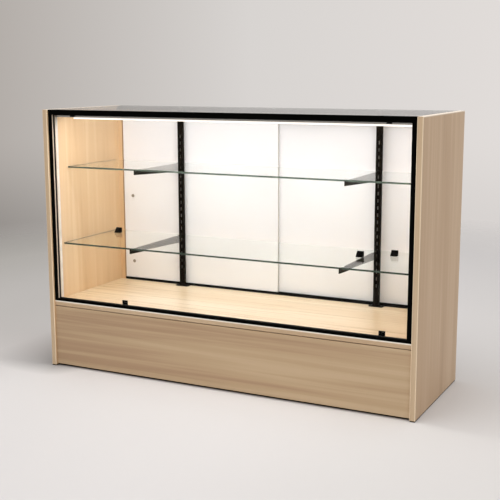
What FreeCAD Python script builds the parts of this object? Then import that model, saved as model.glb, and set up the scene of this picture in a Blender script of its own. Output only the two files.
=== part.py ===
import FreeCAD, Part
import os

V = FreeCAD.Vector

# Glass display counter, millimetres, +Z up, front towards -Y, origin on the floor under the centre

# carcass
width = 1400.0
depth = 475.0
height = 945.0
board = 19.0
edge_band = 3.0
band_land = 0.5
front_recess = 8.0
rear_inset = 3.5
deck_height = 248.5
glide_height = 4.0
kick_clearance = 4.5
kick_board = 16.0
shadow_gap = 2.0
brace_board = 16.0
brace_from_panel = 281.0
dowel_radius = 4.0
dowel_length = 30.0
dowel_in_panel = 12.0
dowel_end_gap = 0.3
deck_dowel_from_edge = 60.0
base_dowel_from_edge = 45.0
hole_play = 0.05
glide_set_in = 1.5
glide_pin_radius = 1.5
glide_pin_length = 12.0
glide_pin_from_edge = 60.0

# front frame and pane
frame_depth = 20.0
top_rail_height = 18.0
bottom_rail_height = 9.5
stile_width = 17.0
pane_thickness = 5.0
gasket_thickness = 1.5
gasket_lip = 2.0
groove_cover = 2.5
bottom_groove = 6.5
stile_groove = 9.0
bead_depth = 12.5
clip_thickness = 3.0
clip_width = 22.0
clip_rise = 15.5
clip_foot = 17.0
left_clip_from_panel = 295.0
right_clip_from_panel = 104.5

# glass top
top_glass_thickness = 6.0
top_pad = 1.0
top_pad_radius = 5.0
front_pad_radius = 4.5
top_pad_from_panel = 80.0
top_glass_play = 1.0
top_glass_overhang = 1.0
rebate_width = 10.0
ledge_thickness = 6.0
ledge_height = 10.0
ledge_gap = 1.0
ledge_screw_from_end = 60.0
rear_rail_height = 13.5
rear_rail_wall = 1.6

# light
led_width = 14.0
led_top_gap = 0.5
led_drop = 8.5
led_wall = 2.0
led_cavity = 10.0
led_strip_thickness = 1.5
led_strip_width = 8.0
diffuser_drop = 5.5
diffuser_tongue = 5.0
diffuser_radius = 3.5
led_cap = 2.0
led_left_from_panel = 98.0
led_right_from_panel = 26.0
led_end_gap = 1.0
led_clip_width = 16.0
led_clip_height = 6.5
led_clip_from_panel = 94.0
led_clip_margin = 0.5
driver_length = 160.0
driver_width = 45.0
driver_height = 28.0
driver_from_panel = 40.0
driver_from_back = 60.0
gland_radius = 8.0
gland_flange_radius = 12.0
gland_flange = 3.0
gland_nut = 6.0
gland_height = 60.0

# rear doors and tracks
door_thickness = 8.0
door_play = 0.5
door_overlap = 40.0
door_side_gap = 1.0
door_engagement = 8.0
track_wall = 2.5
lower_track_height = 10.0
upper_track_height = 18.0
track_floor = 2.5
track_screw_count = 4
track_screw_from_end = 40.0
jamb_width = 22.0
door_glide_length = 30.0
door_glide_height = 12.0
door_glide_width = 6.0
door_glide_proud = 2.0
door_glide_from_edge = 90.0
run_gap = 0.2
pull_width = 26.0
pull_corner = 5.0
pull_plate = 1.2
pull_recess_length = 230.0
pull_recess_width = 18.0
pull_recess_depth = 6.0
pull_wall = 1.2
pull_height = 457.5
pull_from_edge = 40.0
pull_screw_margin = 17.5
pull_end = 17.5
pull_boss_radius = 4.0
pull_boss_length = 5.0
pull_screw_radius = 2.0
pull_screw_cover = 1.0
pull_screw_tip_gap = 0.5
pull_cap_radius = 6.5
pull_cap = 1.5

# shelving
standard_width = 22.0
standard_depth = 11.0
standard_wall = 1.8
left_standard_from_panel = 297.0
right_standard_from_panel = 265.0
standard_gap = 7.5
slot_pitch = 25.4
slot_height = 12.7
slot_play = 0.3
slot_top_drop = 112.5
slot_deck_clear = 70.0
foot_plate_width = 52.0
foot_plate_depth = 26.0
foot_plate_corner = 3.0
foot_plate = 3.0
foot_screw_spacing = 38.0
bracket_thickness = 3.5
bracket_root_cover = 1.25
bracket_tip_drop = 13.0
bracket_ear_rise = 9.5
bracket_ear_length = 6.0
bracket_lip_rise = 5.0
bracket_lip = 5.0
hook_height = 8.0
hook_depth = 3.0
hook_drop = 4.0
hook_above_top = 3.0
hook_gap = 0.2
bracket_pad = 1.0
bracket_pad_length = 12.0
bracket_pad_from_edge = 30.0
shelf_thickness = 6.0
shelf_side_gap = 3.0
shelf_ear_gap = 2.0
shelf_front_gap = 1.5
upper_shelf_depth = 309.0
lower_shelf_depth = 348.0
upper_free_slot_count = 4
lower_free_slot_count = 15
block_width = 24.0
block_depth = 20.0
block_height = 19.0
block_top = 4.0
left_block_from_panel = 56.5
left_block_from_front = 265.0
middle_block_from_panel = 272.0
middle_block_from_front = 191.0
right_block_from_panel = 171.0
right_block_from_front = 255.0

# small countersunk screw used throughout
screw_radius = 1.6
screw_length = 14.0
screw_head_radius = 2.6
screw_head = 1.6

# planes that the sizes above lead to
x_out = width / 2
x_in = x_out - board
x_stile = x_in - stile_width
x_open = x_in - jamb_width
x_left_std = -x_in + left_standard_from_panel
x_right_std = x_in - right_standard_from_panel
x_brace = x_in - brace_from_panel
x_left_clip = -x_in + left_clip_from_panel
x_right_clip = x_in - right_clip_from_panel
x_led_clip = x_in - led_clip_from_panel
band_radius = edge_band - band_land
y_front = -depth / 2
y_rear = depth / 2
y_back = y_rear - rear_inset
y_face = y_front + front_recess
y_frame_back = y_face + frame_depth
y_pane = y_face + frame_depth / 2
y_kick_back = y_face + kick_board
y_base_back = y_back - kick_board
groove = door_thickness + 2 * door_play
track_width = 3 * track_wall + 2 * groove
y_track = y_back - track_width
track_rows = (y_track + track_wall + groove / 2, y_back - track_wall - groove / 2)
y_std_back = y_track - standard_gap
y_std = y_std_back - standard_depth
y_std_mid = (y_std + y_std_back) / 2
y_shelf_back = y_std - bracket_ear_length - shelf_ear_gap
z_deck = deck_height
z_under = z_deck - board
z_foot = glide_height
z_kick = z_foot + kick_clearance
z_bottom_rail = z_deck + bottom_rail_height
z_top_rail = height - top_rail_height
z_glass = height - top_glass_thickness
z_seat = z_glass - top_pad
z_rear_rail = z_seat - rear_rail_height
z_upper_track = z_rear_rail - upper_track_height
z_led = z_top_rail - led_drop
y_led_back = y_frame_back + led_width
y_ledge = y_led_back + ledge_gap
half_groove = pane_thickness / 2 + gasket_thickness
led_clip_depth = frame_depth / 2 - half_groove - led_clip_margin
pull_screw_spacing = pull_recess_length + 2 * pull_screw_margin
pull_length = pull_screw_spacing + 2 * pull_end
slot_count = 1 + int((height - slot_top_drop - slot_deck_clear - z_deck) / slot_pitch)
bracket_root_drop = slot_pitch - hook_above_top + slot_height / 2 + bracket_root_cover

LEFT = V(-1, 0, 0)
RIGHT = V(1, 0, 0)
BACK = V(0, 1, 0)
UP = V(0, 0, 1)
DOWN = V(0, 0, -1)


def box(x0, x1, y0, y1, z0, z1):
    return Part.makeBox(x1 - x0, y1 - y0, z1 - z0, V(x0, y0, z0))


def rod(radius, length, start, direction):
    return Part.makeCylinder(radius, length, start, direction)


def prism_x(points, x0, x1):
    wire = Part.makePolygon([V(x0, y, z) for y, z in points + points[:1]])
    return Part.Face(wire).extrude(V(x1 - x0, 0, 0))


def mirrored(shape):
    return shape.mirror(V(0, 0, 0), RIGHT)


def along(edge, axis):
    return abs(abs(edge.tangentAt(edge.FirstParameter).dot(axis)) - 1) < 1e-6


def rounded(shape, axis, radius):
    return shape.makeFillet(radius, [e for e in shape.Edges if along(e, axis)])


def front_rounded(shape, axis, radius):
    y = shape.BoundBox.YMin
    edges = [e for e in shape.Edges if along(e, axis) and abs(e.CenterOfMass.y - y) < 1e-3]
    return shape.makeFillet(radius, edges)


def save(name, shape):
    shape = shape.removeSplitter()
    shape.exportStep("parts/" + name + ".step")
    print(name, len(shape.Solids), round(shape.Volume / 1000.0, 2), shape.isValid())


def screw(head, direction, play):
    shank = rod(screw_radius + play, screw_length + play, head, direction)
    taper = Part.makeCone(screw_head_radius + play, screw_radius + play, screw_head, head, direction)
    return shank.fuse(taper)


os.makedirs("parts", exist_ok=True)

# places of the small screws: clips, ledges, light, standards and tracks
screw_places = []
y_clip_screw = y_frame_back + (clip_thickness + clip_foot) / 2
for x in (x_left_clip, x_right_clip):
    screw_places.append((V(x, y_clip_screw, z_deck + clip_thickness), DOWN))
y_ledge_mid = (y_ledge + y_std_back) / 2
for y in (y_ledge + ledge_screw_from_end, y_ledge_mid, y_std_back - ledge_screw_from_end):
    screw_places.append((V(-x_in + ledge_thickness, y, z_glass - ledge_height / 2), LEFT))
    screw_places.append((V(x_in - ledge_thickness, y, z_glass - ledge_height / 2), RIGHT))
y_led_screw = y_frame_back - led_clip_depth / 2
for side in (-1, 1):
    screw_places.append((V(side * x_led_clip, y_led_screw, z_top_rail - led_clip_height), UP))
for x in (x_left_std, x_right_std):
    screw_places.append((V(x, y_std, z_rear_rail + rear_rail_height / 2), BACK))
    for offset in (-foot_screw_spacing / 2, foot_screw_spacing / 2):
        screw_places.append((V(x + offset, y_std_mid, z_deck + foot_plate), DOWN))
x_track_screw = x_open - track_screw_from_end
for row in track_rows:
    for i in range(track_screw_count):
        x = -x_track_screw + i * 2 * x_track_screw / (track_screw_count - 1)
        screw_places.append((V(x, row, z_deck + track_floor), DOWN))
        screw_places.append((V(x, row, z_rear_rail - track_floor), UP))
screws = [screw(place, way, 0.0) for place, way in screw_places]
screw_holes = [screw(place, way, hole_play) for place, way in screw_places]
save("wood_screws", Part.makeCompound(screws))


# dowels between the end panels and the boards they carry
def dowel_set(play, end_gap):
    start = x_in + dowel_in_panel + end_gap
    length = dowel_length + 2 * end_gap
    deck_rows = (y_face + deck_dowel_from_edge, 0.0, y_back - deck_dowel_from_edge)
    places = [(y, z_deck - board / 2) for y in deck_rows]
    for z in (z_kick + base_dowel_from_edge, z_under - base_dowel_from_edge):
        places.append((y_face + kick_board / 2, z))
        places.append((y_back - kick_board / 2, z))
    out = []
    for y, z in places:
        out.append(rod(dowel_radius + play, length, V(-start, y, z), RIGHT))
        out.append(rod(dowel_radius + play, length, V(start, y, z), LEFT))
    return out


dowel_holes = dowel_set(hole_play, dowel_end_gap)
save("carcass_dowels", Part.makeCompound(dowel_set(0.0, 0.0)))

# glide strips under the end panels, nailed up into them
glides = []
glide_holes = []
glide_half = board / 2 - glide_set_in
for x in (-x_out + board / 2, x_out - board / 2):
    x0 = x - glide_half
    x1 = x + glide_half
    strip = box(x0, x1, y_front + glide_set_in, y_rear - glide_set_in, 0, glide_height)
    for y in (y_front + glide_pin_from_edge, y_rear - glide_pin_from_edge):
        strip = strip.fuse(rod(glide_pin_radius, glide_height + glide_pin_length, V(x, y, 0), UP))
        hole_length = glide_pin_length + hole_play
        glide_holes.append(rod(glide_pin_radius + hole_play, hole_length, V(x, y, z_foot), UP))
    glides.append(strip)
save("floor_glides", Part.makeCompound(glides))

# end panels and their edge bands
for name, side in (("left", -1), ("right", 1)):
    x0, x1 = sorted((side * x_in, side * x_out))
    panel = box(x0, x1, y_front + edge_band, y_rear, z_foot, height)
    save(name + "_end_panel", panel.cut(dowel_holes + glide_holes + screw_holes))
    band = box(x0, x1, y_front, y_front + edge_band, z_foot, height)
    save(name + "_edge_band", front_rounded(band, UP, band_radius))

# deck and base
deck = box(-x_in, x_in, y_face + edge_band, y_back, z_under, z_deck)
save("deck_panel", deck.cut(dowel_holes + screw_holes))
deck_band = box(-x_in, x_in, y_face, y_face + edge_band, z_under, z_deck)
save("deck_edge_band", front_rounded(deck_band, RIGHT, band_radius))
kick = box(-x_in, x_in, y_face, y_kick_back, z_kick, z_under - shadow_gap)
save("kick_panel", kick.cut(dowel_holes))
x_gland = -x_in + driver_from_panel + driver_length / 2
gland_hole = rod(gland_radius + hole_play, kick_board, V(x_gland, y_base_back, gland_height), BACK)
base_back = box(-x_in, x_in, y_base_back, y_back, z_kick, z_under)
save("base_back_panel", base_back.cut(dowel_holes + [gland_hole]))
for name, x in (("base_brace_left", -x_brace), ("base_brace_right", x_brace)):
    save(name, box(x - brace_board / 2, x + brace_board / 2, y_kick_back, y_base_back, z_kick, z_under))

# front frame with its glazing groove
x_groove = x_stile + stile_groove
z_groove_low = z_bottom_rail - bottom_groove
z_groove_high = z_seat - groove_cover
pocket = box(-x_groove, x_groove, y_pane - half_groove, y_pane + half_groove, z_groove_low, z_groove_high)
rebate = box(-x_in, x_in, y_frame_back - rebate_width, y_frame_back, z_seat, height)
top_rail = box(-x_in, x_in, y_face, y_frame_back, z_top_rail, height)
save("frame_top_rail", top_rail.cut([rebate, pocket] + screw_holes))
save("frame_bottom_rail", box(-x_in, x_in, y_face, y_frame_back, z_deck, z_bottom_rail).cut(pocket))
stile = box(-x_in, -x_stile, y_face, y_frame_back, z_bottom_rail, z_top_rail).cut(pocket)
save("frame_left_stile", stile)
save("frame_right_stile", mirrored(stile))

# pane and the rubber strips that hold it
x_pane = x_groove - gasket_thickness
z_pane_low = z_groove_low + gasket_thickness
z_pane_high = z_groove_high - gasket_thickness
y_pane_front = y_pane - pane_thickness / 2
y_pane_back = y_pane + pane_thickness / 2
pane = box(-x_pane, x_pane, y_pane_front, y_pane_back, z_pane_low, z_pane_high)
save("front_glass", pane)
x_lip = x_stile - gasket_lip
z_lip_low = z_bottom_rail + gasket_lip
z_lip_high = z_top_rail - gasket_lip
sight = box(-x_lip, x_lip, y_face, y_frame_back, z_lip_low, z_lip_high)
ring = pocket.cut([pane, sight])
left_strip = ring.common(box(-x_in, -x_lip, y_face, y_frame_back, z_deck, height))
cross_strips = ring.common(box(-x_lip, x_lip, y_face, y_frame_back, z_deck, height))
save("front_gasket", Part.makeCompound([left_strip, mirrored(left_strip)] + cross_strips.Solids))

# beads behind the stiles
bead = box(-x_in, -x_stile, y_frame_back, y_frame_back + bead_depth, z_deck, z_led)
save("left_glazing_bead", bead)
save("right_glazing_bead", mirrored(bead))

# angle clips behind the bottom rail
clip_profile = [
    (y_frame_back, z_deck),
    (y_frame_back, z_bottom_rail + clip_rise),
    (y_frame_back + clip_thickness, z_bottom_rail + clip_rise),
    (y_frame_back + clip_thickness, z_deck + clip_thickness),
    (y_frame_back + clip_foot, z_deck + clip_thickness),
    (y_frame_back + clip_foot, z_deck),
]
for name, x in (("front_clip_left", x_left_clip), ("front_clip_right", x_right_clip)):
    clip = prism_x(clip_profile, x - clip_width / 2, x + clip_width / 2)
    save(name, clip.cut(screw_holes))

# glass top, its pads, ledges and rear rail
x_top = x_in - top_glass_play
y_top_front = y_frame_back - rebate_width + top_glass_play
save("top_glass", box(-x_top, x_top, y_top_front, y_back + top_glass_overhang, z_glass, height))
x_pad = x_in - top_pad_from_panel
pads = []
for x in (-x_pad, 0.0, x_pad):
    pads.append(rod(front_pad_radius, top_pad, V(x, y_frame_back - rebate_width / 2, z_seat), UP))
    pads.append(rod(top_pad_radius, top_pad, V(x, (y_std_back + y_back) / 2, z_seat), UP))
for x in (x_left_std, x_right_std):
    pads.append(rod(top_pad_radius, top_pad, V(x, y_std_mid, z_seat), UP))
save("top_glass_pads", Part.makeCompound(pads))
ledge = box(-x_in, -x_in + ledge_thickness, y_ledge, y_std_back, z_glass - ledge_height, z_glass)
save("left_glass_ledge", ledge.cut(screw_holes))
save("right_glass_ledge", mirrored(ledge).cut(screw_holes))
rear_rail = box(-x_in, x_in, y_std_back, y_back, z_rear_rail, z_seat)
rear_core = box(-x_in, x_in, y_std_back + rear_rail_wall, y_back - rear_rail_wall,
                z_rear_rail + rear_rail_wall, z_seat - rear_rail_wall)
save("rear_top_rail", rear_rail.cut([rear_core] + screw_holes))

# light behind the top rail: a full-width channel, lit over most of its length
z_led_top = z_seat - led_top_gap
z_diffuser = z_led - diffuser_drop
y_led = y_frame_back
y_led_mid = (y_led + y_led_back) / 2
x_channel = x_in - led_end_gap - led_cap
x_led0 = -x_in + led_left_from_panel
x_led1 = x_in - led_right_from_panel
channel = box(-x_channel, x_channel, y_led, y_led_back, z_led, z_led_top)
cavity = box(-x_channel, x_channel, y_led + led_wall, y_led_back - led_wall, z_led, z_led + led_cavity)
save("led_channel", channel.cut(cavity))
save("led_strip", box(x_led0, x_led1, y_led_mid - led_strip_width / 2, y_led_mid + led_strip_width / 2,
                      z_led + led_cavity - led_strip_thickness, z_led + led_cavity))
bulge = box(x_led0, x_led1, y_led, y_led_back, z_diffuser, z_led)
long_low = [e for e in bulge.Edges if along(e, RIGHT) and abs(e.CenterOfMass.z - z_diffuser) < 1e-6]
bulge = bulge.makeFillet(diffuser_radius, long_low)
tongue = box(x_led0, x_led1, y_led + led_wall, y_led_back - led_wall, z_led, z_led + diffuser_tongue)
save("led_diffuser", bulge.fuse(tongue))
cap = box(x_channel, x_channel + led_cap, y_led, y_led_back, z_led, z_led_top)
save("led_end_caps", Part.makeCompound([mirrored(cap), cap]))
led_clips = []
for x in (-x_led_clip, x_led_clip):
    block = box(x - led_clip_width / 2, x + led_clip_width / 2, y_frame_back - led_clip_depth, y_frame_back,
                z_top_rail - led_clip_height, z_top_rail)
    led_clips.append(block.cut(screw_holes))
save("led_clips", Part.makeCompound(led_clips))
y_driver = y_base_back - driver_from_back
save("led_driver", box(-x_in + driver_from_panel, -x_in + driver_from_panel + driver_length,
                       y_driver - driver_width, y_driver, z_under - driver_height, z_under))
gland = rod(gland_radius, kick_board, V(x_gland, y_base_back, gland_height), BACK)
gland = gland.fuse(rod(gland_flange_radius, gland_flange, V(x_gland, y_back, gland_height), BACK))
nut_start = V(x_gland, y_base_back - gland_nut, gland_height)
save("cord_gland", gland.fuse(rod(gland_flange_radius, gland_nut, nut_start, BACK)))


# standards of rectangular tube, slotted in front, on their foot plates
def slot_z(k):
    return height - slot_top_drop - k * slot_pitch


def standard(x):
    z0 = z_deck + foot_plate
    half = standard_width / 2
    core_half = half - standard_wall
    slot_half = bracket_thickness / 2 + slot_play
    body = box(x - half, x + half, y_std, y_std_back, z0, z_seat)
    core = box(x - core_half, x + core_half, y_std + standard_wall, y_std_back - standard_wall, z0, z_seat)
    slots = []
    for k in range(slot_count):
        z = slot_z(k)
        slots.append(box(x - slot_half, x + slot_half, y_std, y_std + standard_wall,
                         z - slot_height / 2, z + slot_height / 2))
    return body.cut([core] + slots + screw_holes)


for name, x in (("left", x_left_std), ("right", x_right_std)):
    save(name + "_standard", standard(x))
    plate = box(x - foot_plate_width / 2, x + foot_plate_width / 2, y_std_mid - foot_plate_depth / 2,
                y_std_mid + foot_plate_depth / 2, z_deck, z_deck + foot_plate)
    save(name + "_foot_plate", rounded(plate, UP, foot_plate_corner).cut(screw_holes))


# tapered brackets that hook into the slots, with a raised lip in front of the shelf
def bracket(x, top, y_shelf):
    y_lip = y_shelf - shelf_front_gap
    x0 = x - bracket_thickness / 2
    x1 = x + bracket_thickness / 2
    blade = [
        (y_std, top + bracket_ear_rise),
        (y_std - bracket_ear_length, top + bracket_ear_rise),
        (y_std - bracket_ear_length, top),
        (y_lip, top),
        (y_lip, top + bracket_lip_rise),
        (y_lip - bracket_lip, top + bracket_lip_rise),
        (y_lip - bracket_lip, top - bracket_tip_drop),
        (y_std, top - bracket_root_drop),
    ]
    body = prism_x(blade, x0, x1)
    y_inside = y_std + standard_wall + hook_gap
    for z in (top + hook_above_top, top + hook_above_top - slot_pitch):
        z_low = z - slot_height / 2 + hook_gap
        hook = [
            (y_std, z_low),
            (y_std, z_low + hook_height),
            (y_inside + hook_depth, z_low + hook_height),
            (y_inside + hook_depth, z_low - hook_drop),
            (y_inside, z_low - hook_drop),
            (y_inside, z_low),
        ]
        body = body.fuse(prism_x(hook, x0, x1))
    return body


bracket_pads = []
for level, free_slots, shelf_depth in (
    ("upper", upper_free_slot_count, upper_shelf_depth),
    ("lower", lower_free_slot_count, lower_shelf_depth),
):
    top = slot_z(free_slots) - hook_above_top
    z_shelf = top + bracket_pad
    y_shelf = y_shelf_back - shelf_depth
    for name, x in (("left", x_left_std), ("right", x_right_std)):
        save(level + "_" + name + "_bracket", bracket(x, top, y_shelf))
        for y in (y_shelf_back - bracket_pad_from_edge, y_shelf + bracket_pad_from_edge):
            bracket_pads.append(box(x - bracket_thickness / 2, x + bracket_thickness / 2,
                                    y - bracket_pad_length / 2, y + bracket_pad_length / 2, top, z_shelf))
    save(level + "_shelf", box(-x_in + shelf_side_gap, x_in - shelf_side_gap, y_shelf, y_shelf_back,
                               z_shelf, z_shelf + shelf_thickness))
save("bracket_pads", Part.makeCompound(bracket_pads))

# price blocks with a leaning face, on the lower shelf
z_block = slot_z(lower_free_slot_count) - hook_above_top + bracket_pad + shelf_thickness
y_lower_front = y_shelf_back - lower_shelf_depth
blocks = []
for x, y in (
    (-x_in + left_block_from_panel, y_lower_front + left_block_from_front),
    (x_in - middle_block_from_panel, y_lower_front + middle_block_from_front),
    (x_in - right_block_from_panel, y_lower_front + right_block_from_front),
):
    wedge = [
        (y, z_block),
        (y + block_depth - block_top, z_block + block_height),
        (y + block_depth, z_block + block_height),
        (y + block_depth, z_block),
    ]
    blocks.append(prism_x(wedge, x - block_width / 2, x + block_width / 2))
save("price_blocks", Part.makeCompound(blocks))


# tracks and jambs at the back
def grooves(z0, z1):
    return [box(-x_open, x_open, row - groove / 2, row + groove / 2, z0, z1) for row in track_rows]


z_low_track = z_deck + lower_track_height
low_track = box(-x_open, x_open, y_track, y_back, z_deck, z_low_track)
save("lower_track", low_track.cut(grooves(z_deck + track_floor, z_low_track) + screw_holes))
high_track = box(-x_open, x_open, y_track, y_back, z_upper_track, z_rear_rail)
save("upper_track", high_track.cut(grooves(z_upper_track, z_rear_rail - track_floor) + screw_holes))
save("left_jamb", box(-x_in, -x_open, y_track, y_back, z_deck, z_rear_rail))
save("right_jamb", box(x_open, x_in, y_track, y_back, z_deck, z_rear_rail))

# sliding doors with flush pulls, the left one in the front groove
z_run = z_deck + track_floor + run_gap
z_door = z_run + door_glide_proud
z_door_top = z_upper_track + door_engagement
x_door_edge = x_open - door_side_gap
x_meet = door_overlap / 2
x_pull_out = x_door_edge - pull_from_edge
recess_half = pull_recess_width / 2
cup_half = recess_half + pull_wall
cup_depth = pull_recess_depth - pull_plate + pull_wall
for name, row, x0, x1, x_pull in (
    ("left", track_rows[0], -x_door_edge, x_meet, -x_pull_out),
    ("right", track_rows[1], -x_meet, x_door_edge, x_pull_out),
):
    y0 = row - door_thickness / 2
    y1 = row + door_thickness / 2
    z0 = pull_height - pull_recess_length / 2
    z1 = pull_height + pull_recess_length / 2
    door = box(x0, x1, y0, y1, z_door, z_door_top)
    cup = box(x_pull - cup_half, x_pull + cup_half, y1 - cup_depth, y1, z0 - pull_wall, z1 + pull_wall)
    plate = box(x_pull - pull_width / 2, x_pull + pull_width / 2, y1, y1 + pull_plate,
                pull_height - pull_length / 2, pull_height + pull_length / 2)
    finger = box(x_pull - recess_half, x_pull + recess_half,
                 y1 + pull_plate - pull_recess_depth, y1 + pull_plate, z0, z1)
    pull = cup.fuse(rounded(plate, BACK, pull_corner))
    door = door.cut(cup)
    pull_screws = []
    for z in (pull_height - pull_screw_spacing / 2, pull_height + pull_screw_spacing / 2):
        y_boss = y1 - pull_boss_length
        pull = pull.fuse(rod(pull_boss_radius, pull_boss_length, V(x_pull, y_boss, z), BACK))
        screw_start = V(x_pull, y0, z)
        thread_depth = door_thickness - pull_screw_cover
        pull = pull.cut(rod(pull_screw_radius + hole_play, thread_depth, screw_start, BACK))
        door = door.cut(rod(pull_boss_radius + hole_play, pull_boss_length, V(x_pull, y_boss, z), BACK))
        door = door.cut(rod(pull_screw_radius + hole_play, door_thickness, screw_start, BACK))
        shank = rod(pull_screw_radius, thread_depth - pull_screw_tip_gap, screw_start, BACK)
        pull_screws.append(shank.fuse(rod(pull_cap_radius, pull_cap, V(x_pull, y0 - pull_cap, z), BACK)))
    door_glides = []
    for x in (x0 + door_glide_from_edge, x1 - door_glide_from_edge):
        block = box(x - door_glide_length / 2, x + door_glide_length / 2, row - door_glide_width / 2,
                    row + door_glide_width / 2, z_run, z_run + door_glide_height)
        door = door.cut(block)
        door_glides.append(block)
    save(name + "_door", door)
    save(name + "_pull", pull.cut(finger))
    save(name + "_pull_screws", Part.makeCompound(pull_screws))
    save(name + "_door_glides", Part.makeCompound(door_glides))
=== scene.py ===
import math

import bmesh
import bpy
from mathutils import Matrix, Vector


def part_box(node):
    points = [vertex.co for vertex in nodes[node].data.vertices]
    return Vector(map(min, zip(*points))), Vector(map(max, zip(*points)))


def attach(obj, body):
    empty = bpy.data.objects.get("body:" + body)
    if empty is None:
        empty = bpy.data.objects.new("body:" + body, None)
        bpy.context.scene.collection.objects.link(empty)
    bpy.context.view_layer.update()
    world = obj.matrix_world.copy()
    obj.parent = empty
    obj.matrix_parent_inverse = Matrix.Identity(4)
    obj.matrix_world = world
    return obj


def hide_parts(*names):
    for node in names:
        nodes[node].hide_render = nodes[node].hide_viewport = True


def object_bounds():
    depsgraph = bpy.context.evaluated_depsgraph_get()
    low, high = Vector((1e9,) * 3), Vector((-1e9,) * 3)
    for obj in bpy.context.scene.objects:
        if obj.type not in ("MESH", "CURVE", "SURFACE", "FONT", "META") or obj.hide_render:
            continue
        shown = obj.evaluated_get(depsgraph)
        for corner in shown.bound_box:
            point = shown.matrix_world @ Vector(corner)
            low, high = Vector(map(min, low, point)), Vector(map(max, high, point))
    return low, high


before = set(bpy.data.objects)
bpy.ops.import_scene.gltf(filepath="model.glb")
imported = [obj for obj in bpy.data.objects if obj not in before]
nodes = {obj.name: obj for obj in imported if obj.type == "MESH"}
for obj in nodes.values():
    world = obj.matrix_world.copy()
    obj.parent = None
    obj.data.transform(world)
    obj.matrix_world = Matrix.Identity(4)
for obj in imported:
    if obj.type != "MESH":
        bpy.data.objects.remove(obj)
cad_low, cad_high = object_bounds()


def tint(red, green, blue):
    """Linear colour of an 8-bit display colour."""
    parts = []
    for level in (red, green, blue):
        share = level / 255.0
        parts.append(share / 12.92 if share <= 0.04045 else ((share + 0.055) / 1.055) ** 2.4)
    return (*parts, 1.0)


# camera, metres, degrees and millimetres, as the photograph was taken
camera_place = Vector((1.5514, -3.0773, 1.0801))
camera_yaw = 26.621
camera_pitch = -10.323
camera_roll = -0.166
camera_lens = 70.966
camera_sensor = 36.0

# easing of cut edges, metres and degrees
board_ease = 0.0006
metal_ease = 0.0004
plastic_ease = 0.0006
glass_ease = 0.0005
ease_angle = 40.0
ease_steps = 2
weld_gap = 0.00001

# least part of the normal along an axis on a face that looks that way, and along Y on a rear edge
straight_look = 0.97
rear_look = 0.5

# relief of the finishes, metres
wood_relief = 0.00005
coat_relief = 0.00003
grain_relief = 0.00004
pearl_relief = 0.00003
hair_relief = 0.00002

# places of the dark, middle and pale tone on the scale of the wood grain
grain_stops = (0.32, 0.5, 0.68)

# places of painted tones, metres: painted shade along the jambs beside the doors, the margin past an
# inner face that takes paler painted-light tones, painted highlights on the tops of the end panels and
# the lip below their highest points, painted shade of the deck ends from the middle
jamb_shade_width = 0.003
face_margin = 0.001
panel_highlight_span = (0.0034, 0.0014)
lip_highlight_span = (0.0055, 0.002)
deck_end_shade_span = (0.36, 0.62)

# specular level of the black pieces, where 0.5 is usual
black_gloss = 0.015

# wall of the slotted tubes and pitch of the diodes, metres
tube_wall = 0.0018
diode_pitch = 0.0167

# floor, metres and shares of light
floor_radius = 3.3
floor_fade = 1.3
floor_centre = Vector((-0.35, 0.75, 0.0))
floor_dark_from = 0.012
floor_cloud = 0.12
floor_span = (-2.0, 1.2)
# painted shade: the floor's tones darken towards the left
floor_tones = (
    (0.0, tint(177, 173, 168)),
    (0.29, tint(185, 181, 178)),
    (0.56, tint(206, 202, 201)),
    (0.81, tint(208, 204, 203)),
    (1.0, tint(205, 201, 199)),
)
panel_shade_left = 0.31
panel_shade_right = 0.12
panel_shade_ahead = 0.12
panel_shade_depth = 0.45

# backdrop, by the sideways and upward parts of the direction, with painted shade to the left and along the
# wall's foot
wall_tones = ((0.09, tint(179, 173, 168)), (0.5, tint(216, 212, 209)), (0.91, tint(225, 220, 217)))
wall_spread = 0.3
wall_foot_shade_heights = (-0.055, -0.17)
wall_foot_shade_span = (-0.25, 0.15)
wall_foot_shade_left = 0.34
wall_foot_shade_right = 0.1
mirrored_dimming = 0.1
fill_strength = 0.78

# lamps, metres, watts and degrees
lamp_colour = (1.0, 1.0, 0.995)
key_place = Vector((2.3, -2.7, 3.0))
key_size = (2.6, 2.0)
key_power = 5.0
top_place = Vector((0.25, -0.75, 3.6))
top_size = (3.0, 2.4)
top_power = 71.0
light_bar_power = 3.15
light_bar_width = 0.01
light_bar_gap = 0.002
light_bar_tilt = 10.0
light_bar_colour = (1.0, 0.975, 0.95)
pane_light_power = 0.3
pane_light_inset = 0.02
pane_light_gap = 0.004


def plug(tree, socket, value):
    """Links a socket to another one, or sets it to a constant."""
    if isinstance(value, bpy.types.NodeSocket):
        tree.links.new(value, socket)
    else:
        socket.default_value = value


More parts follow.
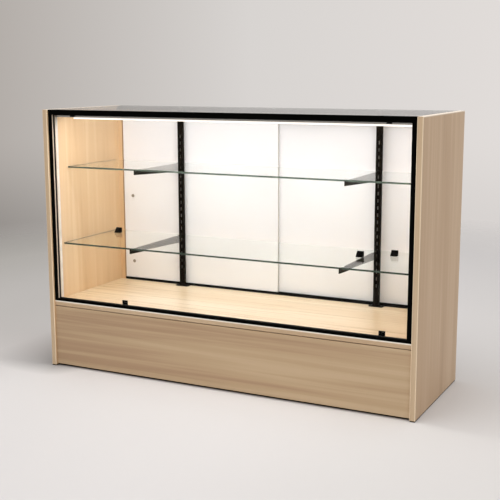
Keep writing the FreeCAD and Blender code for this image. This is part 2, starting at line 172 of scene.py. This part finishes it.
class Shade:
    """A node material with one main shader, built node by node."""

    def __init__(self, name):
        self.material = bpy.data.materials.new(name)
        self.material.use_nodes = True
        self.tree = self.material.node_tree
        self.tree.nodes.clear()
        self.output = self.node("ShaderNodeOutputMaterial")
        self.main = self.node("ShaderNodeBsdfPrincipled")
        self.link(self.main.outputs["BSDF"], self.output.inputs["Surface"])
        self.place = self.node("ShaderNodeTexCoord").outputs["Object"]

    def node(self, kind, **settings):
        made = self.tree.nodes.new(kind)
        for key, value in settings.items():
            setattr(made, key, value)
        return made

    def link(self, source, target):
        self.tree.links.new(source, target)

    def set(self, name, value):
        plug(self.tree, self.main.inputs[name], value)

    def noise(self, scale, detail, roughness, distortion=0.0, shift=(0.0, 0.0, 0.0)):
        """Noise with its own repeats per metre along X, Y and Z."""
        mapping = self.node("ShaderNodeMapping")
        mapping.inputs["Scale"].default_value = scale
        mapping.inputs["Location"].default_value = shift
        self.link(self.place, mapping.inputs["Vector"])
        noise = self.node("ShaderNodeTexNoise")
        noise.inputs["Scale"].default_value = 1.0
        noise.inputs["Detail"].default_value = detail
        noise.inputs["Roughness"].default_value = roughness
        noise.inputs["Distortion"].default_value = distortion
        self.link(mapping.outputs["Vector"], noise.inputs["Vector"])
        return noise.outputs["Fac"]

    def even_noise(self, scale, detail, roughness):
        """Noise with the same repeats per metre along all axes."""
        return self.noise((scale, scale, scale), detail, roughness)

    def math(self, operation, first, second=0.0, third=0.0):
        made = self.node("ShaderNodeMath", operation=operation)
        for socket, value in zip(made.inputs, (first, second, third)):
            plug(self.tree, socket, value)
        return made.outputs["Value"]

    def ramp(self, value, stops):
        made = self.node("ShaderNodeValToRGB")
        made.color_ramp.interpolation = "EASE"
        elements = made.color_ramp.elements
        for element, (place, colour) in zip(elements, (stops[0], stops[-1])):
            element.position = place
            element.color = colour
        for place, colour in stops[1:-1]:
            elements.new(place).color = colour
        self.link(value, made.inputs["Fac"])
        return made.outputs["Color"]

    def span(self, value, low, high, to_low, to_high):
        made = self.node("ShaderNodeMapRange")
        numbers = {"From Min": low, "From Max": high, "To Min": to_low, "To Max": to_high}
        for name, number in numbers.items():
            made.inputs[name].default_value = number
        self.link(value, made.inputs["Value"])
        return made.outputs["Result"]

    def mix(self, factor, first, second):
        made = self.node("ShaderNodeMix", data_type="RGBA")
        sockets = [socket for socket in made.inputs if socket.enabled]
        for socket, value in zip(sockets, (factor, first, second)):
            plug(self.tree, socket, value)
        return next(socket for socket in made.outputs if socket.enabled)

    def bump(self, height, depth, strength):
        """Surface relief, depth in metres."""
        made = self.node("ShaderNodeBump")
        made.inputs["Strength"].default_value = strength
        made.inputs["Distance"].default_value = depth
        self.link(height, made.inputs["Height"])
        self.set("Normal", made.outputs["Normal"])

    def axis(self, name):
        made = self.node("ShaderNodeSeparateXYZ")
        self.link(self.place, made.inputs["Vector"])
        return made.outputs[name]

    def from_middle(self):
        """Distance from the middle plane between the end panels."""
        return self.math("ABSOLUTE", self.axis("X"))

    def facing(self, name):
        """One on faces that look along an axis of the object, either way, and nought elsewhere."""
        normal = self.node("ShaderNodeSeparateXYZ")
        self.link(self.node("ShaderNodeTexCoord").outputs["Normal"], normal.inputs["Vector"])
        return self.math("GREATER_THAN", self.math("ABSOLUTE", normal.outputs[name]), straight_look)

    def between(self, name, low, high):
        """One where a coordinate lies between two places."""
        place = self.axis(name)
        above = self.math("GREATER_THAN", place, low)
        return self.math("MULTIPLY", above, self.math("LESS_THAN", place, high))

    def diode_wave(self):
        """A wave along X with a crest over each diode."""
        return self.math("COSINE", self.math("MULTIPLY", self.axis("X"), 2 * math.pi / diode_pitch))


# mask makers: each gives a mask, a function that builds nodes in a shade and returns their share
def near_middle(limit):
    """What lies nearer the middle plane than a limit."""
    return lambda shade: shade.math("LESS_THAN", shade.from_middle(), limit)


def near_ends(start, stop):
    """Growing towards both ends, between two distances from the middle plane."""
    return lambda shade: shade.span(shade.from_middle(), start, stop, 0.0, 1.0)


def near_top(top, start, stop):
    """Growing towards a top, between two distances below it."""
    return lambda shade: shade.span(shade.axis("Z"), top - start, top - stop, 0.0, 1.0)


def reveal(limit):
    """Faces that look across the opening, nearer the middle plane than a limit."""
    inner = near_middle(limit)
    return lambda shade: shade.math("MULTIPLY", shade.facing("X"), inner(shade))


def hollow(node):
    """The rear half of a tube's inside."""
    low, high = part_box(node)
    skin = tube_wall / 2
    across = (low.x + skin, high.x - skin)
    deep = ((low.y + high.y) / 2, high.y - skin)
    return lambda shade: shade.math("MULTIPLY", shade.between("X", *across), shade.between("Y", *deep))


def on_edges(shade):
    """A mask itself: the rounded edges, which look along no axis."""
    flat = shade.math("ADD", shade.facing("Y"), shade.facing("Z"))
    return shade.math("SUBTRACT", 1.0, shade.math("ADD", shade.facing("X"), flat))


def stretched(along, long_scale, cross_scale):
    """Repeats per metre for a grain that runs along one axis."""
    return tuple(long_scale if axis == along else cross_scale for axis in "XYZ")


def paler(colour, gain, lift=0.0):
    """A colour raised by a gain and a lift."""
    return tuple(min(1.0, part * gain + lift) for part in colour[:3]) + (1.0,)


def wood(name, tones, along, shift=0.0, gloss=0.5, rate=9.0, fine=1.0, drift=0.0, zone=None, trim=None):
    """Wood-grain laminate: broad bands, fine streaks and short pores along one axis.

    The shift moves the pattern, the rate is the broad bands per metre, fine the share of the finer marks,
    drift the change of tone per metre along X. A zone is a mask with the tones inside it, a trim a mask with
    one plain tone over all.
    """
    shade = Shade(name)
    offset = (shift, shift, shift)
    bands = shade.noise(stretched(along, 0.55, rate), 2.0, 0.45, fine, offset)
    figure = shade.noise(stretched(along, 1.1, 4.0 * rate), 3.0, 0.5, 0.7 * fine, offset)
    streaks = shade.noise(stretched(along, 1.8, 260.0), 3.0, 0.6, 0.2, offset)
    pores = shade.noise(stretched(along, 55.0, 1500.0), 2.0, 0.5, 0.0, offset)
    figured = 0.36 * fine
    streaked = 0.12 * fine
    tone = shade.math("MULTIPLY_ADD", figure, figured, shade.math("MULTIPLY", bands, 1.0 - figured))
    tone = shade.math("MULTIPLY_ADD", shade.math("SUBTRACT", streaks, 0.5), streaked, tone)
    tone = shade.math("MULTIPLY_ADD", shade.axis("X"), drift, tone)
    colour = shade.ramp(tone, list(zip(grain_stops, tones)))
    if zone:
        mask, zone_tones = zone
        colour = shade.mix(mask(shade), colour, shade.ramp(tone, list(zip(grain_stops, zone_tones))))
    pore = shade.span(pores, 0.62, 0.72, 0.0, 0.15 * fine)
    colour = shade.mix(pore, colour, tones[0])
    if trim:
        mask, trim_tone = trim
        colour = shade.mix(mask(shade), colour, trim_tone)
    shade.set("Base Color", colour)
    shade.set("Roughness", shade.span(streaks, 0.3, 0.7, gloss - 0.06, gloss + 0.07))
    shade.bump(shade.math("MULTIPLY_ADD", pore, -1.0, streaks), wood_relief, 0.3)
    return shade.material


def metal_paint(name, colour, bare=None):
    """Satin powder coat with a fine orange-peel surface.

    Bare metal shows through a mask if bare gives the mask, the metal's colour and the gain of its pale tone.
    """
    shade = Shade(name)
    peel = shade.even_noise(900.0, 2.0, 0.5)
    cloud = shade.even_noise(7.0, 3.0, 0.6)
    coat = shade.ramp(cloud, [(0.3, colour), (0.75, paler(colour, 1.7))])
    if bare:
        mask, metal, gain = bare
        coat = shade.mix(mask(shade), coat, shade.ramp(cloud, [(0.3, metal), (0.7, paler(metal, gain))]))
    shade.set("Base Color", coat)
    shade.set("Roughness", shade.span(cloud, 0.3, 0.7, 0.31, 0.43))
    shade.set("Specular IOR Level", black_gloss)
    shade.bump(peel, coat_relief, 0.25)
    return shade.material


def plastic(name, colour, roughness=0.5, gloss=0.5):
    """Moulded plastic with a fine spark-eroded grain."""
    shade = Shade(name)
    grains = shade.even_noise(700.0, 2.0, 0.6)
    cloud = shade.even_noise(18.0, 3.0, 0.6)
    shade.set("Base Color", shade.ramp(cloud, [(0.3, colour), (0.75, paler(colour, 1.25, 0.004))]))
    shade.set("Roughness", shade.span(grains, 0.3, 0.7, roughness - 0.06, roughness + 0.08))
    shade.set("Specular IOR Level", gloss)
    shade.bump(grains, grain_relief, 0.3)
    return shade.material


def laminate_white(name):
    """White melamine board with grey end bands, partly painted shade of the doors' meeting edge: slight
    mottling and a fine pearl surface.
    """
    shade = Shade(name)
    cloud = shade.even_noise(3.0, 3.0, 0.6)
    pearl = shade.even_noise(1200.0, 2.0, 0.5)
    face = shade.ramp(cloud, [(0.25, tint(236, 234, 236)), (0.75, tint(241, 239, 241))])
    # end bands: partly painted shade along the doors' meeting edge
    band = shade.ramp(cloud, [(0.25, tint(197, 193, 186)), (0.75, tint(205, 201, 194))])
    shade.set("Base Color", shade.mix(shade.facing("X"), face, band))
    shade.set("Roughness", shade.span(pearl, 0.3, 0.7, 0.34, 0.46))
    shade.bump(pearl, pearl_relief, 0.2)
    return shade.material


def brushed(name, colour, roughness, along="X"):
    """Drawn or anodised metal with hairlines along one axis."""
    shade = Shade(name)
    hair = shade.noise(stretched(along, 12.0, 2600.0), 3.0, 0.6)
    shade.set("Base Color", shade.ramp(hair, [(0.3, colour), (0.7, paler(colour, 1.15))]))
    shade.set("Metallic", 1.0)
    shade.set("Roughness", shade.span(hair, 0.3, 0.7, roughness - 0.05, roughness + 0.08))
    shade.bump(hair, hair_relief, 0.3)
    return shade.material


def rubber(name, colour, clear=0.0):
    """Soft rubber with a dusty surface, clear by a share."""
    shade = Shade(name)
    dust = shade.even_noise(260.0, 3.0, 0.6)
    shade.set("Base Color", shade.ramp(dust, [(0.35, colour), (0.75, paler(colour, 1.3, 0.006))]))
    shade.set("Roughness", shade.span(dust, 0.3, 0.7, 0.6, 0.78))
    shade.set("Transmission Weight", clear)
    shade.bump(dust, grain_relief, 0.3)
    return shade.material


def glass(name, colour, ior, passed):
    """Clear float glass with a trace of dust in its gloss; each face passes a share of lamp light."""
    shade = Shade(name)
    smear = shade.even_noise(4.0, 3.0, 0.6)
    shade.set("Base Color", colour)
    shade.set("Roughness", shade.span(smear, 0.35, 0.75, 0.0, 0.012))
    shade.set("IOR", ior)
    shade.set("Transmission Weight", 1.0)
    clear = shade.node("ShaderNodeBsdfTransparent")
    clear.inputs["Color"].default_value = (passed, passed * 1.01, passed, 1.0)
    path = shade.node("ShaderNodeLightPath")
    choose = shade.node("ShaderNodeMixShader")
    shade.link(path.outputs["Is Shadow Ray"], choose.inputs["Fac"])
    shade.link(shade.main.outputs["BSDF"], choose.inputs[1])
    shade.link(clear.outputs["BSDF"], choose.inputs[2])
    shade.link(choose.outputs["Shader"], shade.output.inputs["Surface"])
    return shade.material


def glass_edge(name):
    """Polished green edge of float glass."""
    shade = Shade(name)
    grind = shade.noise((90.0, 90.0, 1400.0), 3.0, 0.6)
    shade.set("Base Color", shade.ramp(grind, [(0.3, tint(52, 66, 56)), (0.7, tint(88, 106, 92))]))
    shade.set("Roughness", shade.span(grind, 0.3, 0.7, 0.12, 0.26))
    shade.set("Transmission Weight", 0.35)
    shade.set("IOR", 1.5)
    return shade.material


def diffuser(name):
    """Milky, lit cover of the light bar, a little brighter over each diode."""
    shade = Shade(name)
    haze = shade.even_noise(60.0, 2.0, 0.5)
    shade.set("Base Color", shade.ramp(haze, [(0.3, tint(240, 236, 228)), (0.7, tint(250, 247, 241))]))
    shade.set("Roughness", 0.45)
    shade.set("Emission Color", tint(255, 247, 236))
    shade.set("Emission Strength", shade.span(shade.diode_wave(), -1.0, 1.0, 0.95, 1.1))
    return shade.material


def diode_strip(name):
    """White board of the strip with a row of yellow diodes."""
    shade = Shade(name)
    chip = shade.math("GREATER_THAN", shade.diode_wave(), 0.6)
    board = shade.even_noise(300.0, 2.0, 0.5)
    white = shade.ramp(board, [(0.3, tint(226, 224, 218)), (0.7, tint(240, 239, 234))])
    shade.set("Base Color", shade.mix(chip, white, tint(240, 205, 90)))
    shade.set("Roughness", 0.4)
    return shade.material


def paint(material, *names):
    """Gives nodes their finish."""
    for name in names:
        slots = nodes[name].data.materials
        slots.clear()
        slots.append(material)


def eased(width, *names):
    """Breaks the sharp edges of nodes that stay as they are."""
    for name in names:
        weld = nodes[name].modifiers.new("weld", "WELD")
        weld.merge_threshold = weld_gap
        bevel = nodes[name].modifiers.new("ease", "BEVEL")
        bevel.width = width
        bevel.segments = ease_steps
        bevel.limit_method = "ANGLE"
        bevel.angle_limit = math.radians(ease_angle)
        bevel.harden_normals = True


def pane(node, clear, edge, clear_rear=False):
    """A glass sheet with ground green edges in the place of its node, the rear edge left clear if asked."""
    low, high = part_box(node)
    shape = bmesh.new()
    bmesh.ops.create_cube(shape, size=1.0)
    bmesh.ops.scale(shape, vec=high - low, verts=shape.verts)
    bmesh.ops.translate(shape, vec=(low + high) / 2, verts=shape.verts)
    bmesh.ops.bevel(shape, geom=shape.edges[:], offset=glass_ease, segments=ease_steps, profile=0.5,
                    affect="EDGES")
    thin = min(range(3), key=lambda axis: high[axis] - low[axis])
    for face in shape.faces:
        plain = abs(face.normal[thin]) > straight_look or (clear_rear and face.normal.y > rear_look)
        face.material_index = 0 if plain else 1
    mesh = bpy.data.meshes.new(node + "_sheet")
    shape.to_mesh(mesh)
    shape.free()
    mesh.materials.append(clear)
    mesh.materials.append(edge)
    piece = bpy.data.objects.new(node + "_sheet", mesh)
    bpy.context.scene.collection.objects.link(piece)
    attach(piece, "counter")
    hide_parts(node)


# tones, each wood's as dark, middle and pale
panel_tones = (tint(177, 146, 115), tint(189, 159, 127), tint(201, 173, 142))
# painted light: paler, lit tones for the inner faces of the end panels, the ledges and the jambs
lit_inside_tones = (tint(206, 168, 126), tint(217, 182, 141), tint(227, 197, 159))
band_tones = (tint(185, 157, 124), tint(195, 168, 136), tint(204, 179, 148))
# painted shade: darker tones along the jambs' edges beside the doors
jamb_shade_tones = (tint(156, 122, 88), tint(162, 128, 93), tint(168, 134, 98))
lip_tones = (tint(183, 152, 118), tint(192, 163, 130), tint(200, 174, 142))
deck_tones = (tint(206, 179, 148), tint(214, 190, 162), tint(221, 199, 174))
# painted shade: darker tones towards both ends of the deck
deck_end_shade_tones = (tint(193, 163, 127), tint(201, 173, 138), tint(208, 182, 149))
kick_tones = (tint(170, 139, 108), tint(186, 158, 124), tint(196, 170, 136))
dowel_tones = (tint(196, 164, 122), tint(208, 178, 138), tint(218, 190, 152))
# painted highlight on the rounded edges of the edge bands
band_edge_highlight = tint(238, 216, 184)
# painted highlight along the top of the deck's lip
lip_top_highlight = tint(255, 247, 232)
# painted highlight along the tops of the end panels
panel_top_highlight = tint(234, 219, 201)
black = tint(4, 4, 3)
bracket_black = tint(28, 26, 20)
standard_black = tint(15, 11, 7)
# bare metal of the stiles' reveals, its beige partly a painted reflection of the warm inside
bare_and_reflected_reveal = tint(205, 186, 166)
zinc_grey = tint(190, 186, 180)

# inner faces of pieces that come in pairs, as distances from the middle plane, and the top of the lip
panel_inner = -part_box("left_end_panel")[1].x
jamb_inner = -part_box("left_jamb")[1].x
stile_inner = -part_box("frame_left_stile")[1].x
lip_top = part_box("deck_edge_band")[1].z

# finishes
# painted light: the inner faces take the paler lit tones, the tops of the end panels a painted highlight
panel_wood = wood("panel_wood", panel_tones, "Z", 3.0,
                  zone=(near_middle(panel_inner + face_margin), lit_inside_tones),
                  trim=(near_top(cad_high.z, *panel_highlight_span), panel_top_highlight))
# painted shade along the jambs' inner edges beside the doors
jamb_wood = wood("jamb_wood", lit_inside_tones, "Z", 3.0,
                 zone=(near_middle(jamb_inner + jamb_shade_width), jamb_shade_tones))
# painted highlight on the edge bands' rounded edges
edge_wood = wood("edge_wood", band_tones, "Z", 11.0, 0.3, trim=(on_edges, band_edge_highlight))
# painted highlight along the top of the lip
lip_wood = wood("lip_wood", lip_tones, "X", 9.0, 0.3, trim=(near_top(lip_top, *lip_highlight_span), lip_top_highlight))
# painted shade deepens the deck towards both ends
deck_wood = wood("deck_wood", deck_tones, "X", 7.0, 0.3, rate=8.0, fine=0.15, drift=-0.15,
                 zone=(near_ends(*deck_end_shade_span), deck_end_shade_tones))
# painted shade: the drift darkens the kick panel towards the left
kick_wood = wood("kick_wood", kick_tones, "X", 5.0, rate=20.0, drift=0.085)
dowel_wood = wood("dowel_wood", dowel_tones, "X", 1.0)
black_metal = metal_paint("black_metal", black)
bracket_metal = metal_paint("bracket_metal", bracket_black)
# the stiles' reveals: bare metal with a partly painted reflection of the warm inside
stile_metal = metal_paint("stile_metal", black, (reveal(stile_inner + face_margin), bare_and_reflected_reveal, 1.08))
black_plastic = plastic("black_plastic", black, gloss=black_gloss)
bead_white = plastic("bead_white", tint(214, 207, 198), 0.4)
nylon = plastic("nylon", tint(222, 221, 214), 0.42)
cap_grey = plastic("cap_grey", tint(138, 129, 118), 0.4)
gasket_rubber = rubber("gasket_rubber", black)
clear_rubber = rubber("clear_rubber", tint(228, 229, 226), 0.3)
aluminium = brushed("aluminium", tint(214, 212, 208), 0.38)
pull_grey = brushed("pull_grey", tint(150, 144, 136), 0.34, "Z")
steel = brushed("steel", tint(168, 167, 164), 0.32, "Z")
door_white = laminate_white("door_white")
front_clear = glass("front_clear", (1.0, 1.0, 1.0, 1.0), 1.15, 0.95)
top_clear = glass("top_clear", (0.97, 0.985, 0.975, 1.0), 1.05, 0.95)
shelf_clear = glass("shelf_clear", (0.96, 0.985, 0.97, 1.0), 1.11, 0.945)
edge_green = glass_edge("edge_green")
lit_diffuser = diffuser("lit_diffuser")
led_board = diode_strip("led_board")

brackets = ("upper_left_bracket", "upper_right_bracket", "lower_left_bracket", "lower_right_bracket")
rails = ("frame_top_rail", "frame_bottom_rail", "rear_top_rail")
stiles = ("frame_left_stile", "frame_right_stile")
panels = ("left_end_panel", "right_end_panel")
jambs = ("left_jamb", "right_jamb")
front_clips = ("front_clip_left", "front_clip_right")

paint(panel_wood, *panels, "left_glass_ledge", "right_glass_ledge")
paint(jamb_wood, *jambs)
paint(edge_wood, "left_edge_band", "right_edge_band")
paint(deck_wood, "deck_panel")
paint(lip_wood, "deck_edge_band")
paint(kick_wood, "kick_panel", "base_back_panel", "base_brace_left", "base_brace_right")
paint(dowel_wood, "carcass_dowels")
paint(stile_metal, *stiles)
paint(black_metal, *rails, "left_foot_plate", "right_foot_plate")
for standard in ("left_standard", "right_standard"):
    paint(metal_paint(standard + "_paint", standard_black, (hollow(standard), zinc_grey, 1.12)), standard)
paint(bracket_metal, *brackets)
paint(black_plastic, *front_clips, "led_clips", "led_end_caps", "led_driver", "cord_gland")
paint(black_plastic, "price_blocks", "lower_track", "floor_glides")
paint(bead_white, "left_glazing_bead", "right_glazing_bead")
paint(gasket_rubber, "front_gasket")
paint(clear_rubber, "top_glass_pads", "bracket_pads")
paint(aluminium, "led_channel", "upper_track")
paint(led_board, "led_strip")
paint(lit_diffuser, "led_diffuser")
paint(steel, "wood_screws")
paint(door_white, "left_door", "right_door")
paint(pull_grey, "left_pull", "right_pull")
paint(cap_grey, "left_pull_screws", "right_pull_screws")
paint(nylon, "left_door_glides", "right_door_glides")

eased(board_ease, *panels, *jambs, "kick_panel", "base_back_panel")
eased(metal_ease, *rails, *stiles, *brackets)
eased(plastic_ease, *front_clips, "price_blocks", "led_driver", "led_clips")

pane("front_glass", front_clear, edge_green)
pane("top_glass", top_clear, edge_green)
pane("upper_shelf", shelf_clear, edge_green, clear_rear=True)
pane("lower_shelf", shelf_clear, edge_green, clear_rear=True)


# studio: a pale floor that fades out, a plain backdrop in the world, soft lamps
def counter_shade(shade):
    """One where the floor lies in the dark under the counter."""
    low, high = (corner - floor_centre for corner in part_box("kick_panel"))
    rear = cad_high.y - floor_centre.y
    across = shade.between("X", low.x, high.x)
    return shade.math("MULTIPLY", across, shade.between("Y", low.y + floor_dark_from, rear - floor_dark_from))


def panel_shade(shade):
    """Share of light that the left end panel keeps from the floor close around its foot."""
    low, high = (corner - floor_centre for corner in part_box("left_end_panel"))
    left = shade.span(shade.axis("X"), low.x - panel_shade_left, low.x, 1.0, 0.0)
    right = shade.span(shade.axis("X"), high.x, high.x + panel_shade_right, 0.0, 1.0)
    front = shade.span(shade.axis("Y"), low.y - panel_shade_ahead, low.y, 1.0, 0.0)
    back = shade.span(shade.axis("Y"), high.y, high.y + panel_shade_ahead, 0.0, 1.0)
    aside = shade.math("ADD", left, right)
    ahead = shade.math("ADD", front, back)
    squares = shade.math("MULTIPLY_ADD", aside, aside, shade.math("MULTIPLY", ahead, ahead))
    return shade.span(shade.math("SQRT", squares), 0.0, 1.0, panel_shade_depth, 0.0)


def floor():
    """A round floor whose rim fades out, with painted shade towards the left, under the counter and around
    the left end panel's foot.
    """
    shape = bmesh.new()
    bmesh.ops.create_circle(shape, cap_ends=True, segments=96, radius=floor_radius)
    mesh = bpy.data.meshes.new("floor")
    shape.to_mesh(mesh)
    shape.free()
    made = bpy.data.objects.new("floor", mesh)
    made.location = floor_centre
    bpy.context.scene.collection.objects.link(made)
    shade = Shade("floor")
    reach = shade.node("ShaderNodeVectorMath", operation="LENGTH")
    shade.link(shade.place, reach.inputs[0])
    fade = shade.span(reach.outputs["Value"], floor_radius - floor_fade, floor_radius, 1.0, 0.0)
    cloud = shade.even_noise(0.8, 2.0, 0.5)
    tone = shade.math("MULTIPLY_ADD", cloud, floor_cloud, shade.axis("X"))
    tone = shade.span(tone, *floor_span, 0.0, 1.0)
    colour = shade.mix(panel_shade(shade), shade.ramp(tone, floor_tones), black)
    shade.set("Base Color", shade.mix(counter_shade(shade), colour, black))
    shade.set("Roughness", 0.7)
    shade.set("Specular IOR Level", 0.2)
    shade.set("Alpha", fade)
    mesh.materials.append(shade.material)


def backdrop():
    """World: a wall with painted shade, for what is seen, mirrored or seen through, an even fill for the
    rest.
    """
    world = bpy.data.worlds.new("studio")
    bpy.context.scene.world = world
    world.use_nodes = True
    tree = world.node_tree
    tree.nodes.clear()

    def node(kind, **settings):
        made = tree.nodes.new(kind)
        for key, value in settings.items():
            setattr(made, key, value)
        return made

    def feed(made, *values):
        for socket, value in zip(made.inputs, values):
            plug(tree, socket, value)
        return made.outputs[0]

    def number(operation, *values):
        return feed(node("ShaderNodeMath", operation=operation), *values)

    way = node("ShaderNodeTexCoord").outputs["Generated"]
    turn = math.radians(camera_yaw)
    across = node("ShaderNodeVectorMath", operation="DOT_PRODUCT")
    feed(across, way, (math.cos(turn), math.sin(turn), 0.0))
    sideways = across.outputs["Value"]
    height = node("ShaderNodeSeparateXYZ")
    feed(height, way)
    wall = node("ShaderNodeValToRGB")
    wall.color_ramp.elements.new(0.5)
    for element, (place, colour) in zip(wall.color_ramp.elements, wall_tones):
        element.position = place
        element.color = colour
    feed(wall, feed(node("ShaderNodeMapRange"), sideways, -wall_spread, wall_spread, 0.0, 1.0))
    low = feed(node("ShaderNodeMapRange", interpolation_type="SMOOTHSTEP"),
               height.outputs["Z"], *wall_foot_shade_heights, 0.0, 1.0)
    depth = feed(node("ShaderNodeMapRange"), sideways, *wall_foot_shade_span, wall_foot_shade_left, wall_foot_shade_right)
    path = node("ShaderNodeLightPath").outputs
    # painted shade: a darker band along the wall's foot
    foot = number("MULTIPLY", low, depth)
    dimming = number("MULTIPLY_ADD", path["Is Glossy Ray"], mirrored_dimming, foot)
    seen = node("ShaderNodeBackground")
    feed(seen, wall.outputs["Color"], number("SUBTRACT", 1.0, dimming))
    fill = node("ShaderNodeBackground")
    feed(fill, (*lamp_colour, 1.0), fill_strength)
    shown = number("MAXIMUM", path["Is Camera Ray"], path["Is Glossy Ray"])
    shown = number("MAXIMUM", shown, path["Is Transmission Ray"])
    choose = node("ShaderNodeMixShader")
    feed(choose, shown, fill.outputs["Background"], seen.outputs["Background"])
    out = node("ShaderNodeOutputWorld")
    tree.links.new(choose.outputs["Shader"], out.inputs["Surface"])


def lamp(name, place, aim, size, power, colour):
    """A rectangular lamp that looks at a point and isn't seen itself."""
    data = bpy.data.lights.new(name, "AREA")
    data.shape = "RECTANGLE"
    data.size, data.size_y = size
    data.energy = power
    data.color = colour
    made = bpy.data.objects.new(name, data)
    made.location = place
    made.rotation_euler = (aim - place).to_track_quat("-Z", "Y").to_euler()
    made.visible_camera = False
    bpy.context.scene.collection.objects.link(made)
    return made


def light_bar():
    """Lamp light of the diffuser, just under it, leaning towards the doors."""
    low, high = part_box("led_diffuser")
    place = Vector(((low.x + high.x) / 2, (low.y + high.y) / 2, low.z - light_bar_gap))
    made = lamp("light_bar", place, place - Vector((0, 0, 1)), (high.x - low.x, light_bar_width),
                light_bar_power, light_bar_colour)
    made.rotation_euler = (math.radians(light_bar_tilt), 0.0, 0.0)
    made.visible_glossy = False
    made.visible_transmission = False


def pane_light():
    """Soft studio light that comes in through the front pane."""
    low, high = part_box("front_glass")
    place = Vector(((low.x + high.x) / 2, high.y + pane_light_gap, (low.z + high.z) / 2))
    size = (high.x - low.x - 2 * pane_light_inset, high.z - low.z - 2 * pane_light_inset)
    made = lamp("pane_light", place, place + Vector((0, 1, 0)), size, pane_light_power, lamp_colour)
    made.visible_glossy = False
    made.visible_transmission = False


def camera():
    """The photograph's camera, from its place, turn, tilt and lean."""
    yaw = math.radians(camera_yaw)
    pitch = math.radians(camera_pitch)
    roll = math.radians(camera_roll)
    forward = Vector((-math.sin(yaw) * math.cos(pitch), math.cos(yaw) * math.cos(pitch), math.sin(pitch)))
    right = Vector((math.cos(yaw), math.sin(yaw), 0.0))
    up = right.cross(forward)
    leaned_right = right * math.cos(roll) + up * math.sin(roll)
    leaned_up = up * math.cos(roll) - right * math.sin(roll)
    turn = Matrix((leaned_right, leaned_up, -forward)).transposed()
    data = bpy.data.cameras.new("camera")
    data.lens = camera_lens
    data.sensor_width = camera_sensor
    made = bpy.data.objects.new("camera", data)
    made.matrix_world = Matrix.Translation(camera_place) @ turn.to_4x4()
    bpy.context.scene.collection.objects.link(made)
    bpy.context.scene.camera = made


floor()
backdrop()
middle = (cad_low + cad_high) / 2
lamp("key", key_place, middle, key_size, key_power, lamp_colour)
lamp("top", top_place, middle, top_size, top_power, lamp_colour)
light_bar()
pane_light()
camera()
bpy.context.scene.view_settings.view_transform = "Standard"
